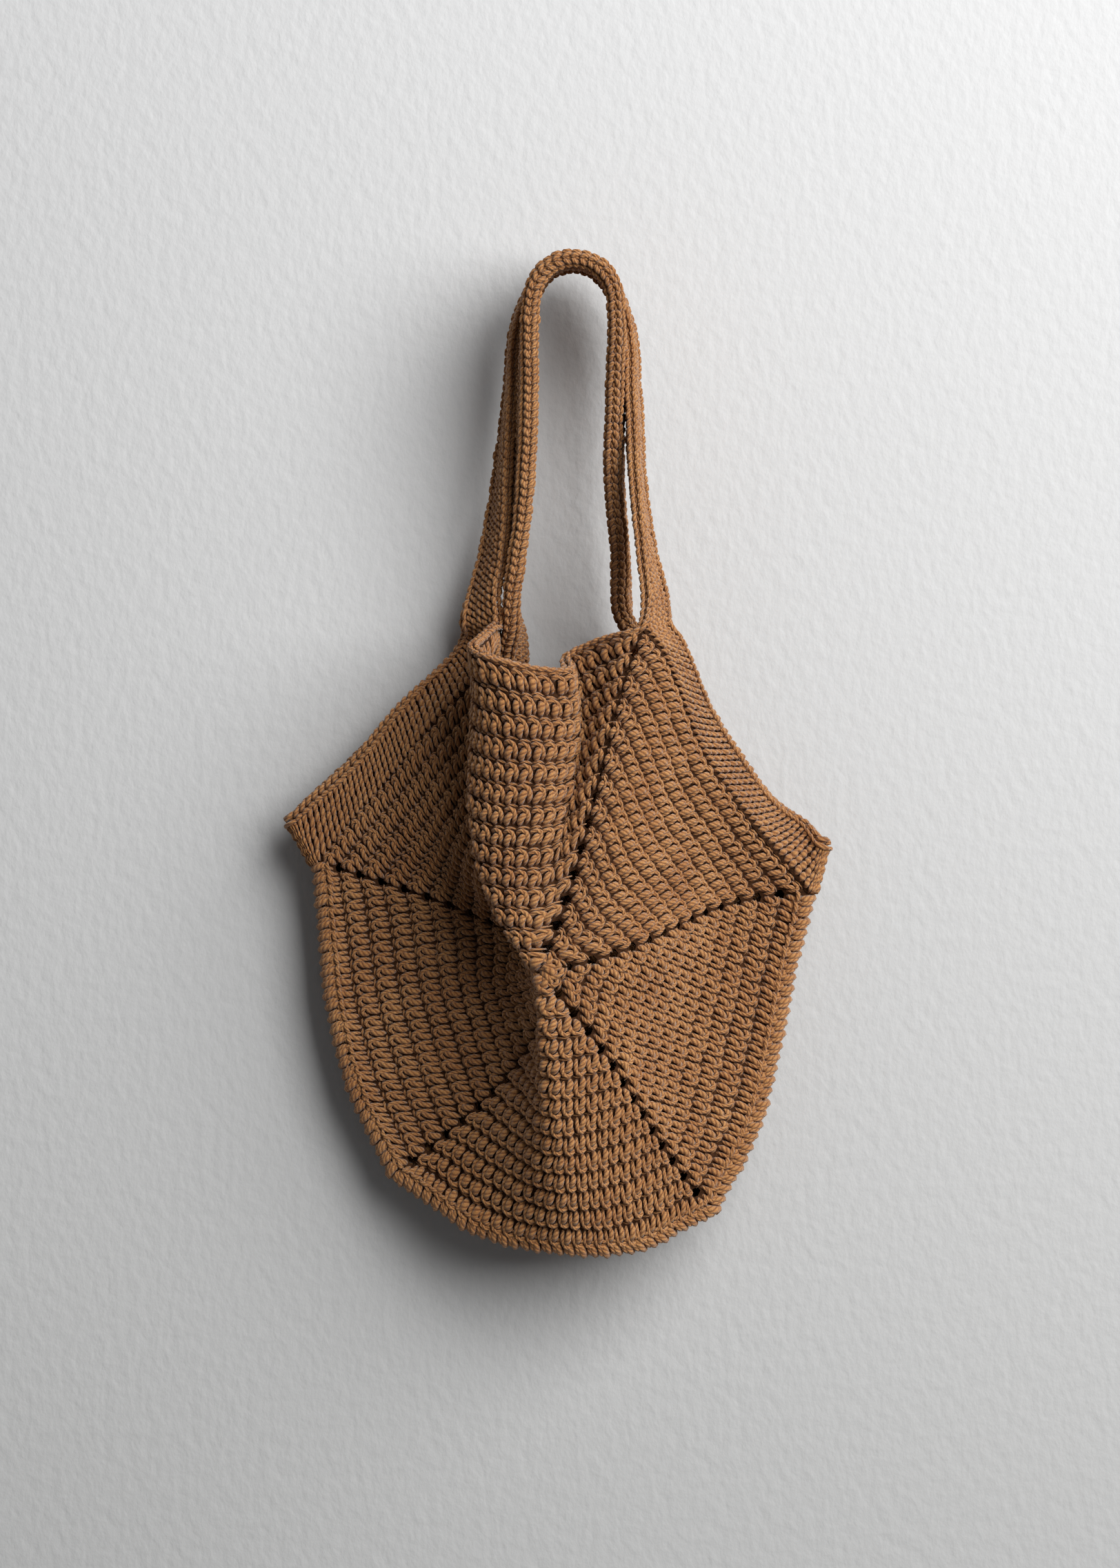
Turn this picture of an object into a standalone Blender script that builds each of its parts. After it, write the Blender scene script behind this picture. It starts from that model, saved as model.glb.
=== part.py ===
"""A crochet tote bag, hanging by its two handles.

The body is two hexagons worked in rounds from the centre and joined along their three
lower sides. A border runs along each upper slanted side, round the side corner and up
into the handles. Lengths are in metres, +X is the bag's right as seen from the front,
-Y is the front and +Z is up. The origin is where the handles rest on what holds them.
"""

import math

import bmesh
import bpy
import numpy as np

# Driving sizes
PANEL_SIDE = 0.193
ROUNDS = 14
CLOTH = 0.0044
BAND_WIDTH = 0.0205
PEG_RADIUS = 0.0202
HANDLE_DROP = 0.3805
FRONT_DEPTH = 0.065
EYELET_RADIUS = 0.0026
FIRST_EYELET_ROUND = 6
LAST_EYELET_ROUND = 13
RIM_RADIUS = 0.0017
EDGE_RADIUS = 0.0021
SEAM_WIDTH = 0.0048
SEAM_DEPTH = 0.0100
SEAM_START = 0.0012
GAP = 0.0003
RIM_GAP = 0.0006
BORDER_GAP = 0.0012
HANDLE_SPACING = BAND_WIDTH + 4 * RIM_RADIUS + 3 * RIM_GAP

# Corners of a hexagon with a side of one, clockwise from the top left as seen from the front
CORNERS = np.array([(math.cos(math.radians(a)), math.sin(math.radians(a)))
                    for a in (120, 60, 0, -60, -120, 180)])
# How far the hanging cloth reaches across and up for each unit of the flat hexagon
MEAN_ACROSS, MEAN_UP = 0.70, 0.86
# The rounds at which the fold tables give a place, as shares of all the rounds
STATIONS = (5 / 14, 10 / 14, 1.0)

# A row for each fold line that runs from the panel's centre to its edge. The first column is
# where it meets the edge, counted in sides from the top left corner. Then come the places at
# three rounds, from the front's centre: across, back and up, in shares of the panel's side.
FRONT_FOLDS = (
    (0.00, (-0.138, 0.096, 0.330), (-0.149, 0.249, 0.670), (-0.119, 0.383, 0.962)),
    (0.20, (-0.153, 0.027, 0.303), (-0.174, 0.107, 0.617), (-0.161, 0.207, 0.908)),
    (0.32, (-0.124, -0.002, 0.293), (-0.149, 0.035, 0.594), (-0.176, 0.104, 0.890)),
    (0.43, (-0.086, -0.019, 0.287), (-0.100, -0.011, 0.580), (-0.160, 0.015, 0.868)),
    (0.50, (-0.063, -0.023, 0.285), (-0.051, -0.027, 0.576), (-0.107, -0.026, 0.848)),
    (0.57, (-0.038, -0.023, 0.285), (0.000, -0.027, 0.575), (-0.046, -0.027, 0.831)),
    (0.71, (0.013, -0.008, 0.287), (0.080, 0.038, 0.580), (0.084, 0.042, 0.824)),
    (0.78, (0.040, 0.004, 0.295), (0.103, 0.084, 0.598), (0.080, 0.119, 0.854)),
    (1.00, (0.121, 0.000, 0.339), (0.213, 0.004, 0.692), (0.287, 0.034, 0.937)),
    (1.50, (0.199, 0.031, 0.203), (0.341, 0.149, 0.416), (0.469, 0.249, 0.573)),
    (1.75, (0.255, 0.067, 0.147), (0.423, 0.258, 0.299), (0.600, 0.357, 0.393)),
    (2.00, (0.307, 0.094, 0.086), (0.510, 0.335, 0.174), (0.751, 0.429, 0.215)),
    (2.25, (0.277, 0.086, 0.006), (0.470, 0.318, 0.016), (0.699, 0.424, -0.002)),
    (2.50, (0.245, 0.080, -0.080), (0.425, 0.303, -0.153), (0.653, 0.412, -0.227)),
    (2.75, (0.227, 0.071, -0.171), (0.389, 0.274, -0.321), (0.594, 0.391, -0.450)),
    (3.00, (0.205, 0.057, -0.261), (0.343, 0.234, -0.489), (0.479, 0.360, -0.670)),
    (3.25, (0.116, 0.023, -0.285), (0.195, 0.162, -0.538), (0.278, 0.299, -0.761)),
    (3.50, (0.034, 0.015, -0.291), (0.046, 0.130, -0.556), (0.067, 0.268, -0.767)),
    (3.75, (0.006, 0.108, -0.250), (-0.083, 0.262, -0.497), (-0.163, 0.353, -0.722)),
    (4.00, (-0.020, 0.212, -0.214), (-0.209, 0.400, -0.425), (-0.397, 0.455, -0.577)),
    (4.25, (-0.048, 0.258, -0.118), (-0.268, 0.425, -0.262), (-0.505, 0.462, -0.354)),
    (4.50, (-0.077, 0.287, -0.042), (-0.316, 0.425, -0.100), (-0.561, 0.460, -0.153)),
    (5.00, (-0.080, 0.303, 0.111), (-0.372, 0.412, 0.222), (-0.611, 0.450, 0.299)),
    (5.50, (-0.115, 0.188, 0.203), (-0.249, 0.335, 0.412), (-0.345, 0.431, 0.617)),
)
BACK_CENTRE = (0.015, 0.249, 0.010)
BACK_FOLDS = (
    (0.00, (-0.015, 0.316, 0.307), (-0.050, 0.431, 0.609), (-0.042, 0.502, 0.843)),
    (0.25, (-0.034, 0.259, 0.293), (-0.080, 0.287, 0.575), (-0.057, 0.335, 0.776)),
    (0.50, (-0.008, 0.201, 0.284), (-0.034, 0.157, 0.556), (-0.042, 0.138, 0.751)),
    (0.75, (0.048, 0.259, 0.301), (0.086, 0.287, 0.590), (0.115, 0.354, 0.805)),
    (1.00, (0.105, 0.335, 0.326), (0.192, 0.431, 0.632), (0.253, 0.494, 0.891)),
    (1.50, (0.192, 0.412, 0.201), (0.364, 0.494, 0.393), (0.459, 0.494, 0.525)),
    (1.75, (0.204, 0.428, 0.146), (0.437, 0.503, 0.282), (0.590, 0.461, 0.367)),
    (2.00, (0.226, 0.431, 0.086), (0.517, 0.502, 0.163), (0.751, 0.429, 0.215)),
    (2.25, (0.229, 0.424, 0.008), (0.495, 0.494, 0.018), (0.699, 0.424, -0.002)),
    (2.50, (0.230, 0.412, -0.073), (0.460, 0.479, -0.134), (0.653, 0.412, -0.227)),
    (2.75, (0.218, 0.390, -0.147), (0.409, 0.449, -0.300), (0.594, 0.391, -0.450)),
    (3.00, (0.192, 0.364, -0.220), (0.345, 0.412, -0.469), (0.479, 0.360, -0.670)),
    (3.25, (0.116, 0.332, -0.241), (0.205, 0.361, -0.513), (0.278, 0.299, -0.761)),
    (3.50, (0.034, 0.316, -0.249), (0.057, 0.335, -0.527), (0.067, 0.268, -0.767)),
    (3.75, (-0.043, 0.347, -0.208), (-0.101, 0.395, -0.458), (-0.163, 0.353, -0.722)),
    (4.00, (-0.115, 0.393, -0.163), (-0.262, 0.472, -0.385), (-0.397, 0.455, -0.577)),
    (4.25, (-0.146, 0.431, -0.090), (-0.318, 0.494, -0.213), (-0.505, 0.462, -0.354)),
    (4.50, (-0.163, 0.460, -0.029), (-0.364, 0.502, -0.077), (-0.561, 0.460, -0.153)),
    (5.00, (-0.144, 0.460, 0.096), (-0.393, 0.502, 0.215), (-0.611, 0.450, 0.299)),
    (5.50, (-0.115, 0.412, 0.207), (-0.239, 0.494, 0.425), (-0.316, 0.502, 0.613)),
)

# A row for each section of a border: its place along the edge in sides, the way its width points,
# outward from the panel, as across, back and up, and its width as a share of the band's.
FRONT_LEFT_BORDER = ((5.0, -0.50, 0.05, 0.86, 1.22), (5.25, -0.54, 0.14, 0.72, 0.92), (5.5, -0.60, 0.32, 0.60, 0.92),
                     (5.75, -0.68, 0.62, 0.30, 1.0), (6.0, -0.74, 0.66, 0.10, 1.0))
FRONT_RIGHT_BORDER = ((1.0, 0.55, 0.83, 0.05, 1.0), (1.25, 0.45, 0.86, 0.18, 1.0), (1.5, 0.54, 0.74, 0.40, 1.0),
                      (1.75, 0.46, 0.72, 0.50, 1.0), (2.0, 0.25, 0.05, 0.95, 1.22))
BACK_LEFT_BORDER = ((5.0, -0.50, 0.05, 0.86, 1.22), (5.25, -0.56, 0.10, 0.74, 1.0), (5.5, -0.65, 0.05, 0.72, 1.0),
                    (5.75, -0.80, -0.38, 0.40, 1.0), (6.0, -0.50, -0.86, 0.05, 1.0))
BACK_RIGHT_BORDER = ((1.0, 0.35, -0.93, 0.10, 1.0), (1.5, 0.66, 0.16, 0.66, 1.0), (1.75, 0.56, 0.28, 0.64, 1.0),
                     (2.0, 0.25, 0.05, 0.95, 1.22))

# A row for each section of a handle's leg, from its foot up: its height above the front's
# centre, the place of its middle across and back, and the turn of its width in degrees, where
# 0 runs front to back and 90 runs across. Lengths are in shares of the handle's drop, from
# the front's centre to where the handle rests.
FRONT_LEFT_LEG = ((0.519, -0.0783, 0.2090, -36), (0.585, -0.0642, 0.2130, -24), (0.650, -0.0545, 0.2130, -17),
                  (0.690, -0.0501, 0.2130, -12), (0.814, -0.0379, 0.2110, -3), (0.926, -0.0248, 0.2085, 0))
FRONT_RIGHT_LEG = ((0.519, 0.1644, 0.0640, 22), (0.590, 0.1518, 0.0895, 11), (0.690, 0.1396, 0.1265, 5),
                   (0.814, 0.1338, 0.1720, 4), (0.926, 0.1235, 0.2085, 0))
BACK_LEFT_LEG = ((0.491, -0.0331, 0.2120, 10), (0.519, -0.0370, 0.2040, 2), (0.585, -0.0340, 0.1926, -9),
                 (0.650, -0.0268, 0.1820, -12), (0.690, -0.0233, 0.1750, -12), (0.814, -0.0175, 0.1537, -11),
                 (0.926, -0.0117, 0.1330, -3))
BACK_RIGHT_LEG = ((0.493, 0.1265, 0.2140, 4), (0.590, 0.1192, 0.1945, 7), (0.688, 0.1109, 0.1760, 9),
                  (0.814, 0.1114, 0.1537, 7), (0.926, 0.1119, 0.1330, 3))
# A row for each corner of the seam's section: shares of its width outward and of its depth back
SEAM_SECTION = ((0.0, -0.42), (0.5, -0.50), (1.0, -0.25), (1.0, 0.25), (0.5, 0.50), (0.0, 0.42))
SEAM_END = 0.035
HANDLE_SECTION_STEP = 0.011
RIM_CORNER_REACH = 3.2
# Just inside the edge, to read the way out of the cloth there
JUST_INSIDE = 0.97
PEG_SECTIONS = 8
FRONT_PEG_ARC = 118.0
BACK_PEG_ARC = 150.0


def unit(v):
    """The vectors of the last axis at length one."""
    v = np.asarray(v, float)
    return v / np.linalg.norm(v, axis=-1, keepdims=True)


def hermite(knots, values, at, period=None):
    """A smooth curve through values at uneven knots, closed when it has a period."""
    knots, values = np.asarray(knots, float), np.asarray(values, float)
    if period:
        knots = np.concatenate([knots[-2:] - period, knots, knots[:2] + period])
        values = np.concatenate([values[-2:], values, values[:2]])
        at = np.mod(at, period)
    step = np.diff(knots)
    slope = np.diff(values, axis=0) / step[:, None]
    inner = (slope[:-1] * step[1:, None] + slope[1:] * step[:-1, None]) / (step[1:] + step[:-1])[:, None]
    tangent = np.concatenate([slope[:1], inner, slope[-1:]])
    i = np.clip(np.searchsorted(knots, at, side="right") - 1, 0, len(step) - 1)
    h = step[i][:, None]
    t = ((at - knots[i]) / step[i])[:, None]
    return ((2 * t**3 - 3 * t**2 + 1) * values[i] + (t**3 - 2 * t**2 + t) * h * tangent[i]
            + (3 * t**2 - 2 * t**3) * values[i + 1] + (t**3 - t**2) * h * tangent[i + 1])


def flat(p, s):
    """Place in the flat hexagon, from p sides along its edge and the share s of its rounds."""
    p = np.mod(p, 6)
    side = np.minimum(np.floor(p).astype(int), 5)
    t = (p - side)[:, None]
    return s[:, None] * (CORNERS[side] * (1 - t) + CORNERS[(side + 1) % 6] * t)


def polar(u, v):
    """The reverse of flat: sides along the edge, and share of the rounds."""
    angle = np.mod(np.degrees(np.arctan2(v, u)), 360)
    turned = np.mod(120 - angle, 360)
    side = np.minimum(np.floor(turned / 60).astype(int), 5)
    a, b = CORNERS[side], CORNERS[(side + 1) % 6]
    det = a[:, 0] * b[:, 1] - a[:, 1] * b[:, 0]
    first = (u * b[:, 1] - v * b[:, 0]) / det
    second = (a[:, 0] * v - a[:, 1] * u) / det
    s = first + second
    return side + np.where(s > 1e-9, second / np.maximum(s, 1e-9), 0.0), s


def spread(p, s):
    """The hanging cloth's mean plane, before its folds."""
    uv = flat(p, s)
    return np.stack([uv[:, 0] * MEAN_ACROSS, np.zeros(len(p)), uv[:, 1] * MEAN_UP], axis=1)


def panel(p, s, folds, centre):
    """Points on a panel's middle surface, in metres."""
    p, s = np.asarray(p, float), np.asarray(s, float)
    knots = [row[0] for row in folds]
    lifts = []
    for column, station in enumerate(STATIONS, start=1):
        table = np.array([row[column] for row in folds]) - centre
        at_knots = spread(np.array(knots), np.full(len(knots), station))
        lifts.append(hermite(knots, table - at_knots, p, period=6))
    stations = (0.0,) + STATIONS
    offset = np.zeros((len(p), 3))
    for i, lift in enumerate(lifts, start=1):
        weight = np.ones(len(p))
        for j, other in enumerate(stations):
            if j != i:
                weight *= (s - other) / (stations[i] - other)
        offset += weight[:, None] * lift
    place = (spread(p, s) + offset + centre) * PANEL_SIDE
    return place + (CENTRE_X, -FRONT_DEPTH, -HANDLE_DROP)


# The front's centre lies a little to the left of the hang point
CENTRE_X = -0.0191
LAYER = np.array([0, CLOTH / 2 + 3 * GAP, 0])


def front(p, s):
    """The front panel's middle surface."""
    p, s = np.atleast_1d(np.asarray(p, float)), np.atleast_1d(np.asarray(s, float))
    return panel(p, s, FRONT_FOLDS, np.zeros(3)) - LAYER * s[:, None] ** 3


def back(p, s):
    """The back panel's middle surface."""
    p, s = np.atleast_1d(np.asarray(p, float)), np.atleast_1d(np.asarray(s, float))
    return panel(p, s, BACK_FOLDS, np.array(BACK_CENTRE)) + LAYER * s[:, None] ** 3


def material(name, colour, roughness):
    """Crochet cotton in one shade."""
    cotton = bpy.data.materials.new(name)
    cotton.use_nodes = True
    shader = cotton.node_tree.nodes["Principled BSDF"]
    shader.inputs["Base Color"].default_value = (*colour, 1)
    shader.inputs["Roughness"].default_value = roughness
    shader.inputs["Metallic"].default_value = 0
    return cotton


def add_object(name, mesh, cotton):
    """An object with this mesh and material in the scene."""
    mesh.materials.append(cotton)
    mesh.shade_smooth()
    obj = bpy.data.objects.new(name, mesh)
    bpy.context.collection.objects.link(obj)
    return obj


def make_panel(name, surface, outward, cotton):
    """A hexagon of crochet: a lattice with a ring for each round and a hole at each eyelet."""
    bm = bmesh.new()
    rings = [[bm.verts.new((0, 0, 0))]]
    eyelets = []
    for k in range(1, ROUNDS + 1):
        p = np.arange(6 * k) / k
        places = flat(p, np.full(6 * k, k / ROUNDS)) * PANEL_SIDE
        rings.append([bm.verts.new((u, 0, v)) for u, v in places])
        if FIRST_EYELET_ROUND <= k <= LAST_EYELET_ROUND:
            eyelets += rings[-1][::k]
    for k in range(1, ROUNDS + 1):
        outer, inner = rings[k], rings[k - 1]
        for side in range(6):
            for i in range(k):
                a, b = outer[side * k + i], outer[(side * k + i + 1) % (6 * k)]
                c = inner[(side * (k - 1) + i) % len(inner)]
                bm.faces.new((a, b, c))
                if i < k - 1:
                    bm.faces.new((c, b, inner[(side * (k - 1) + i + 1) % len(inner)]))
    cut = bmesh.ops.bevel(bm, geom=eyelets, offset=EYELET_RADIUS, affect="VERTICES", segments=1, profile=0.5)
    bmesh.ops.delete(bm, geom=[f for f in cut["faces"] if len(f.verts) == 6], context="FACES_ONLY")
    bm.verts.ensure_lookup_table()
    uv = np.array([(v.co.x, v.co.z) for v in bm.verts]) / PANEL_SIDE
    for vertex, place in zip(bm.verts, surface(*polar(uv[:, 0], uv[:, 1]))):
        vertex.co = place
    bmesh.ops.triangulate(bm, faces=bm.faces)
    if outward > 0:
        bmesh.ops.reverse_faces(bm, faces=bm.faces)
    mesh = bpy.data.meshes.new(name)
    bm.to_mesh(mesh)
    bm.free()
    obj = add_object(name, mesh, cotton)
    wall = obj.modifiers.new("thickness", "SOLIDIFY")
    wall.thickness = CLOTH
    wall.offset = 0
    wall.use_even_offset = True
    wall.thickness_clamp = 0
    return obj


def loft(name, rings, cotton, closed=False):
    """A solid through equal rings of points, with flat ends unless it closes on itself."""
    bm = bmesh.new()
    made = [[bm.verts.new(point) for point in ring] for ring in rings]
    count = len(made[0])
    pairs = list(zip(made, made[1:] + made[:1])) if closed else list(zip(made, made[1:]))
    for one, two in pairs:
        for i in range(count):
            j = (i + 1) % count
            bm.faces.new((one[i], one[j], two[j], two[i]))
    if not closed:
        bm.faces.new(made[0][::-1])
        bm.faces.new(made[-1])
    bmesh.ops.recalc_face_normals(bm, faces=bm.faces)
    bmesh.ops.triangulate(bm, faces=bm.faces)
    mesh = bpy.data.meshes.new(name)
    bm.to_mesh(mesh)
    bm.free()
    return add_object(name, mesh, cotton)


def tangents(points, closed=False):
    """The way a line of points runs at each of them."""
    if closed:
        return unit(np.roll(points, -1, axis=0) - np.roll(points, 1, axis=0))
    return unit(np.gradient(points, axis=0))


def edge(surface, places):
    """Points along one side of a panel's edge, and the way out of the cloth at each."""
    points = surface(places, np.ones(len(places)))
    along = tangents(points)
    out = points - surface(places, np.full(len(places), JUST_INSIDE))
    return points, unit(out - np.sum(out * along, axis=1, keepdims=True) * along)


def border(surface, rows, places):
    """Inner points, width directions and widths of a border along a panel's edge."""
    table = np.array(rows)
    shape = hermite(table[:, 0], table[:, 1:], places)
    way = unit(shape[:, :3])
    points, out = edge(surface, places)
    turned = 1 - np.sum(way * out, axis=1, keepdims=True)
    return points + out * (BORDER_GAP + turned * CLOTH / 2), way, shape[:, 3:] * BAND_WIDTH


def around_corner(one, two):
    """The border's sections where it turns from the front to the back at a side corner."""
    middle, half = (one[0][-1] + two[0][-1]) / 2, (two[0][-1] - one[0][-1]) / 2
    way = one[1][-1]
    out = unit(np.cross(way, half))
    out *= math.copysign(1, out[0] * middle[0])
    angles = np.radians((-45, 0, 45))
    points = [middle + half * math.sin(a) + out * np.linalg.norm(half) * math.cos(a) for a in angles]
    return np.array(points), np.tile(way, (len(points), 1)), np.tile(one[2][-1], (len(points), 1))


def leg(rows, way_y):
    """Middle points and width directions of a handle's leg, from its foot to the peg."""
    table = np.array(rows)
    middle = table[:, (1, 2, 0)] * HANDLE_DROP + (CENTRE_X, -FRONT_DEPTH, -HANDLE_DROP)
    turn = np.radians(table[:, 3])
    return middle, np.stack([np.sin(turn), np.cos(turn), np.zeros(len(turn))], axis=1) * way_y


def over_peg(y, way_y, arc):
    """Sections of a handle where it lies on the peg, from left to right."""
    radius = PEG_RADIUS + CLOTH / 2
    angles = np.radians(np.linspace(90 + arc / 2, 90 - arc / 2, PEG_SECTIONS))
    middle = np.stack([radius * np.cos(angles), np.full(PEG_SECTIONS, y), radius * np.sin(angles) - PEG_RADIUS], axis=1)
    return middle, np.tile((0, way_y, 0), (PEG_SECTIONS, 1))


def handle(left_side, left_rows, y, arc, right_rows, right_side):
    """Inner points, width directions and widths of a handle, from its left foot to its right one."""
    way_y = math.copysign(1, y)
    feet = [(side[0][:1] + side[1][:1] * BAND_WIDTH / 2, side[1][:1]) for side in (left_side, right_side)]
    stretches = [feet[0], leg(left_rows, way_y), over_peg(y, way_y, arc),
                 [line[::-1] for line in leg(right_rows, way_y)], feet[1]]
    middles = np.concatenate([stretch[0] for stretch in stretches])
    ways = np.concatenate([stretch[1] for stretch in stretches])
    run = np.concatenate([[0], np.cumsum(np.linalg.norm(np.diff(middles, axis=0), axis=1))])
    at = np.linspace(0, run[-1], round(run[-1] / HANDLE_SECTION_STEP) + 1)
    middle, way = hermite(run, middles, at), unit(hermite(run, ways, at))
    return middle - way * BAND_WIDTH / 2, way, np.full((len(at), 1), BAND_WIDTH)


def band_loop(parts):
    """The handles and borders as one closed band: inner points, width directions, widths, and
    the directions along the band and through its thickness."""
    inner, way, width = (np.concatenate([part[i][:-1] for part in parts]) for i in range(3))
    along = tangents(inner + way * width / 2, closed=True)
    return inner, way, width, along, unit(np.cross(along, way))


def band_rings(loop, start, count):
    """Rectangular sections of one stretch of the closed band, a little short at both ends."""
    picked = np.arange(start, start + count + 1) % len(loop[0])
    inner, way, width, along, thick = (line[picked] for line in loop)
    shift = np.zeros_like(inner)
    shift[0], shift[-1] = along[0] * GAP / 2, -along[-1] * GAP / 2
    near, far = inner + shift, inner + way * width + shift
    return [(n - t, n + t, f + t, f - t) for n, f, t in zip(near, far, thick * CLOTH / 2)]


def rim_rings(points, way, radius):
    """Square sections of a thin rim round a closed line of points."""
    across = unit(np.cross(tangents(points, closed=True), way)) * radius
    return [(p + w, p + a, p - w, p - a) for p, w, a in zip(points, way * radius, across)]


def mouth_rim(surface, hand):
    """The rim of a hand hole: along the panel's top edge and up the handle's inner edge."""
    points, out = edge(surface, np.arange(ROUNDS + 1) / ROUNDS)
    inner, way, _ = hand
    ways = np.concatenate([unit(out[:1] - way[:1]), out[1:-1], unit(out[-1:] - way[-1:]), -way[-2:0:-1]])
    reaches = np.full((len(ways), 1), RIM_RADIUS + RIM_GAP)
    reaches[[0, ROUNDS]] *= RIM_CORNER_REACH
    return rim_rings(np.concatenate([points, inner[-2:0:-1]]) + ways * reaches, ways, RIM_RADIUS)


def seam_rings():
    """Sections of the ridge that joins the panels along their three lower sides."""
    p = np.concatenate([[2 + SEAM_END], np.arange(2 * ROUNDS + 1, 5 * ROUNDS) / ROUNDS, [5 - SEAM_END]])
    one = np.ones(len(p))
    middle = (front(p, one) + back(p, one)) / 2
    out = unit(np.cross(tangents(middle), (0, 1, 0)))
    out *= np.sign(np.sum(out * (middle - middle.mean(axis=0)), axis=1, keepdims=True))
    back_way = np.array([0, 1, 0])
    return [[m + o * (SEAM_START + w * SEAM_WIDTH) + back_way * d * SEAM_DEPTH for w, d in SEAM_SECTION]
            for m, o in zip(middle, out)]


def build():
    """Makes every piece."""
    for obj in list(bpy.data.objects):
        bpy.data.objects.remove(obj)
    cotton = material("caramel cotton", (0.34, 0.18, 0.085), 0.85)

    make_panel("front_panel", front, -1, cotton)
    make_panel("back_panel", back, 1, cotton)

    steps = np.arange(ROUNDS + 1) / ROUNDS
    front_left = border(front, FRONT_LEFT_BORDER, 6 - steps)
    front_right = border(front, FRONT_RIGHT_BORDER, 1 + steps)
    back_left = border(back, BACK_LEFT_BORDER, 6 - steps)
    back_right = border(back, BACK_RIGHT_BORDER, 1 + steps)
    front_hand = handle(front_left, FRONT_LEFT_LEG, HANDLE_SPACING / 2, FRONT_PEG_ARC, FRONT_RIGHT_LEG, front_right)
    back_hand = handle(back_left, BACK_LEFT_LEG, -HANDLE_SPACING / 2, BACK_PEG_ARC, BACK_RIGHT_LEG, back_right)

    right_side = [np.concatenate([a, b, c[::-1]])
                  for a, b, c in zip(front_right, around_corner(front_right, back_right), back_right)]
    left_side = [np.concatenate([a, b, c[::-1]])
                 for a, b, c in zip(back_left, around_corner(back_left, front_left), front_left)]
    stretches = {"front_handle": front_hand, "right_side_border": right_side,
                 "back_handle": [line[::-1] for line in back_hand], "left_side_border": left_side}
    loop = band_loop(list(stretches.values()))
    start = 0
    for name, stretch in stretches.items():
        count = len(stretch[0]) - 1
        loft(name, band_rings(loop, start, count), cotton)
        start += count

    loft("joining_seam", seam_rings(), cotton)
    loft("front_mouth_rim", mouth_rim(front, front_hand), cotton, closed=True)
    loft("back_mouth_rim", mouth_rim(back, back_hand), cotton, closed=True)
    edging = loop[0] + loop[1] * (loop[2] + EDGE_RADIUS + RIM_GAP)
    loft("outer_edging", rim_rings(edging, loop[1], EDGE_RADIUS), cotton, closed=True)


build()
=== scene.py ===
"""The looks of a crochet tote bag that hangs by its two handles, stitch by stitch.

Every stitch is laid on the same folded surfaces as the bag's solid walls, so the cloth,
its eyelets, the ribbed borders and the handles stay where the frame has them.
"""

import math

import bpy
import numpy as np
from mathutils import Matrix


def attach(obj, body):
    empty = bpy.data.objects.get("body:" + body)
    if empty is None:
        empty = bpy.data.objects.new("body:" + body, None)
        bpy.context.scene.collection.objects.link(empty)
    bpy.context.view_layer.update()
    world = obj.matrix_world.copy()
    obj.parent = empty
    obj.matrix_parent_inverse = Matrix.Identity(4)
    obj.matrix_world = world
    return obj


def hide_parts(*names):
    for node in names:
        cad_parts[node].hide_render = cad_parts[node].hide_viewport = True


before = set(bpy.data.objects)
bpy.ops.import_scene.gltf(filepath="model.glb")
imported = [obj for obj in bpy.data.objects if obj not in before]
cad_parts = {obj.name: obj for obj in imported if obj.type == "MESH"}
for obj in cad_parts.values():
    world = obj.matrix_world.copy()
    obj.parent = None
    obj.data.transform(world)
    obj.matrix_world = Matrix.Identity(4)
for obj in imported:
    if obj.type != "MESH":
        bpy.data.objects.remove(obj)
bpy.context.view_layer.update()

# The photograph shows the bag straight from the front, from far enough that the nose of the
# cloth and the back look nearly the same size.
PHOTO_WIDTH, PHOTO_HEIGHT = 1624, 2273
METRES_PER_PIXEL = 0.00037
HANG_PIXEL = (831.6, 378.6)
CAMERA_DISTANCE = 4.0
SHARP_DEPTH = -0.03
SENSOR = 36.0
view = bpy.data.cameras.new("camera")
view.sensor_width = SENSOR
view.lens = SENSOR * CAMERA_DISTANCE / (PHOTO_HEIGHT * METRES_PER_PIXEL)
camera = bpy.data.objects.new("camera", view)
camera.location = ((PHOTO_WIDTH / 2 - HANG_PIXEL[0]) * METRES_PER_PIXEL, SHARP_DEPTH - CAMERA_DISTANCE,
                   (HANG_PIXEL[1] - PHOTO_HEIGHT / 2) * METRES_PER_PIXEL)
camera.rotation_euler = (math.pi / 2, 0, 0)
bpy.context.collection.objects.link(camera)
bpy.context.scene.camera = camera


# The yarn is a soft plied cotton, caramel brown. Its plies wind round each strand as slanted
# ridges, the grooves between them are painted darker as shade, and short fibres make the surface matt.
YARN_LIGHT, YARN_GROOVE_SHADE, PAINTED_CORE_SHADE = "#c6935c", "#8f5f38", "#4a2f1c"
PLY_LAY_MM = 2.6
PLIES = 3


def linear(code):
    """An sRGB hex colour as linear red, green, blue and alpha."""
    shades = [int(code[i:i + 2], 16) / 255 for i in (1, 3, 5)]
    return (*[c / 12.92 if c <= 0.04045 else ((c + 0.055) / 1.055) ** 2.4 for c in shades], 1.0)


def add(tree, kind, links=(), settings=(), **values):
    """A new node with its settings, its values by socket name or number, and its incoming links."""
    node = tree.nodes.new(kind)
    for key, value in dict(settings).items():
        setattr(node, key, value)
    for key, value in values.items():
        node.inputs[int(key[1:]) if key[1:].isdigit() else key.replace("_", " ")].default_value = value
    for key, output in dict(links).items():
        tree.links.new(output, node.inputs[key])
    return node


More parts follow.
